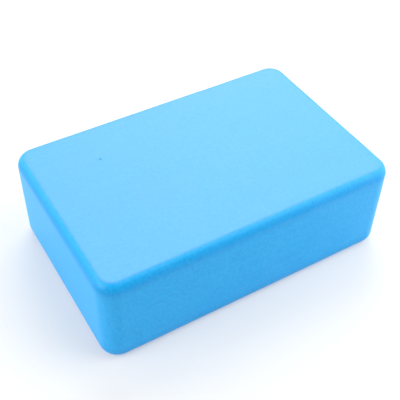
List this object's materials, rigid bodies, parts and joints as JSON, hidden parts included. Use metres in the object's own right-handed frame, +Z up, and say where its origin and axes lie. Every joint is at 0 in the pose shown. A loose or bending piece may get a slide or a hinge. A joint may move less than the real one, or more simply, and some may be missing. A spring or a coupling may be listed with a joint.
{
  "type": "foam block",
  "caption": "Light blue foam exercise block: a solid rectangular brick of closed-cell foam with rounded corners and softened edges, used to prop, raise or support.",
  "frame": {"origin": "middle of the bottom face, on the surface that the block lies on", "axes": "+X along the length, +Y across the width, +Z up through the thickness"},
  "size_m": [0.23, 0.15, 0.075],
  "materials": {
    "foam": "matte"
  },
  "bodies": {
    "root": {"foam_block": "foam"}
  },
  "joints": []
}
